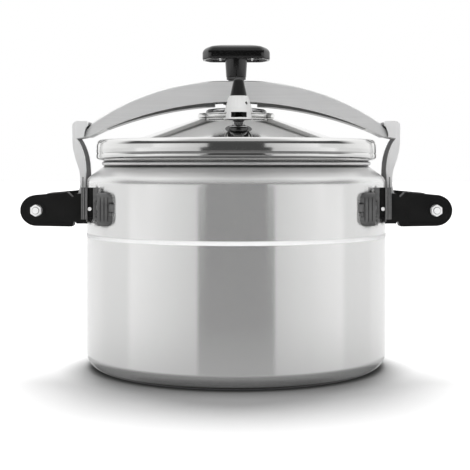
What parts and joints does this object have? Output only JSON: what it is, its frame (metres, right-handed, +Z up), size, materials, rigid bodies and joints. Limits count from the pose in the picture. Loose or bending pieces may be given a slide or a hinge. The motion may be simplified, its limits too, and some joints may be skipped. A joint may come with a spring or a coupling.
{
  "type": "pressure canner",
  "caption": "Straight-sided aluminium pressure canner with black side handles, its lid held down by a knob screw in an arched yoke hooked under swinging side links.",
  "frame": {"origin": "centre of the vessel's flat base, on the surface that it stands on", "axes": "+Z up along the screw and the vessel's axis, +X to the right-hand handle along the yoke, front with the weight valve towards -Y"},
  "size_m": [0.4114, 0.2966, 0.3172],
  "materials": {
    "polished_aluminium": "polished, fine lengthwise reflections",
    "lid_aluminium": "polished",
    "yoke_aluminium": "satin",
    "yoke_inner": "satin, darker",
    "link_steel": "satin",
    "dark_steel": "dark nickel",
    "dark_cast": "dark grey, cast",
    "dark_bolts": "satin",
    "bright_fixings": "bright plated",
    "bright_steel": "bright",
    "rivets": "satin",
    "black_handle": "black phenolic",
    "black_knob": "black phenolic",
    "black_cap": "black, faintly glossy",
    "dark_collar": "dark",
    "weight_satin": "pale satin",
    "white_washer": "white fibre",
    "seal_rubber": "matte",
    "brass": "satin"
  },
  "bodies": {
    "vessel_body": {"vessel": "polished_aluminium", "wall_pads": "dark_cast", "handle_bracket_left_front": "dark_steel", "handle_bracket_left_rear": "dark_steel", "handle_bracket_right_front": "dark_steel", "handle_bracket_right_rear": "dark_steel", "bracket_bolts": "dark_bolts", "bracket_nuts": "bright_fixings", "bracket_rivets": "bright_fixings", "link_pins": "bright_fixings", "handle_plate_left": "dark_steel", "handle_plate_right": "dark_steel", "handle_rivets": "rivets", "handle_cheek_left_front": "black_handle", "handle_cheek_left_rear": "black_handle", "handle_cheek_right_front": "black_handle", "handle_cheek_right_rear": "black_handle", "handle_grip_left": "black_handle", "handle_grip_right": "black_handle", "handle_rod_left": "bright_fixings", "handle_rod_right": "bright_fixings", "handle_nuts": "bright_fixings", "handle_washers": "bright_fixings"},
    "lid": {"lid_shell": "lid_aluminium", "lid_gasket": "seal_rubber", "lid_hub_plate": "lid_aluminium", "thrust_plate": "bright_steel", "hub_rivet": "rivets", "valve_nozzle": "bright_steel", "valve_nozzle_washer": "white_washer", "valve_nozzle_nut": "bright_fixings", "vent_guard": "bright_steel", "safety_valve_body": "brass", "safety_valve_washer": "white_washer", "safety_valve_nut": "bright_fixings", "safety_valve_cap": "brass", "safety_spring": "bright_steel"},
    "safety_pin": {"safety_plunger": "bright_steel"},
    "needle": {"valve_needle": "bright_steel"},
    "weight": {"valve_weight": "weight_satin", "valve_weight_cap": "black_cap"},
    "yoke": {"yoke_shell": "yoke_aluminium", "yoke_stiffener_left": "yoke_inner", "yoke_stiffener_right": "yoke_inner", "yoke_bush": "yoke_inner"},
    "foot": {"pressure_foot": "bright_steel", "foot_ring": "bright_steel"},
    "screw": {"spindle": "bright_steel", "knob": "black_knob", "knob_insert": "brass", "knob_collar": "dark_collar"},
    "left_link": {"link_left": "link_steel"},
    "right_link": {"link_right": "link_steel"}
  },
  "joints": [
    {"name": "yoke_lift", "type": "slide", "parent": "vessel_body", "child": "yoke", "axis": [0, 0, 1], "range_m": [0, 0.05]},
    {"name": "lid_lift", "type": "slide", "parent": "vessel_body", "child": "lid", "axis": [0, 0, 1], "range_m": [0, 0.03]},
    {"name": "right_link_swing", "type": "hinge", "parent": "vessel_body", "child": "right_link", "pos_m": [0.1522, 0, 0.163], "axis": [0, 1, 0], "range_deg": [0, 65]},
    {"name": "left_link_swing", "type": "hinge", "parent": "vessel_body", "child": "left_link", "pos_m": [-0.1522, 0, 0.163], "axis": [0, -1, 0], "range_deg": [0, 65]},
    {"name": "screw_travel", "type": "slide", "parent": "yoke", "child": "foot", "axis": [0, 0, 1], "range_m": [0, 0.0105]},
    {"name": "knob_turn", "type": "hinge", "parent": "foot", "child": "screw", "pos_m": [0, 0, 0.27], "axis": [0, 0, 1], "range_deg": [0, 1260]},
    {"name": "valve_lift", "type": "slide", "parent": "lid", "child": "needle", "axis": [0, 0, 1], "range_m": [0, 0.004]},
    {"name": "weight_spin", "type": "hinge", "parent": "needle", "child": "weight", "pos_m": [0.00209, -0.07497, 0.26], "axis": [0, 0, 1], "continuous": true},
    {"name": "safety_pin_lift", "type": "slide", "parent": "lid", "child": "safety_pin", "axis": [0, 0, 1], "range_m": [0, 0.0025], "stiffness_N_per_m": 900, "springref_m": -0.001, "deforming": ["safety_spring"]}
  ],
  "couplings": [
    {"joint": "lid_lift", "follows": "yoke_lift", "ratio": 0.6},
    {"joint": "right_link_swing", "follows": "yoke_lift", "rad_per_m": 22.688},
    {"joint": "left_link_swing", "follows": "yoke_lift", "rad_per_m": 22.688},
    {"joint": "knob_turn", "follows": "screw_travel", "rad_per_m": 2094.4}
  ]
}
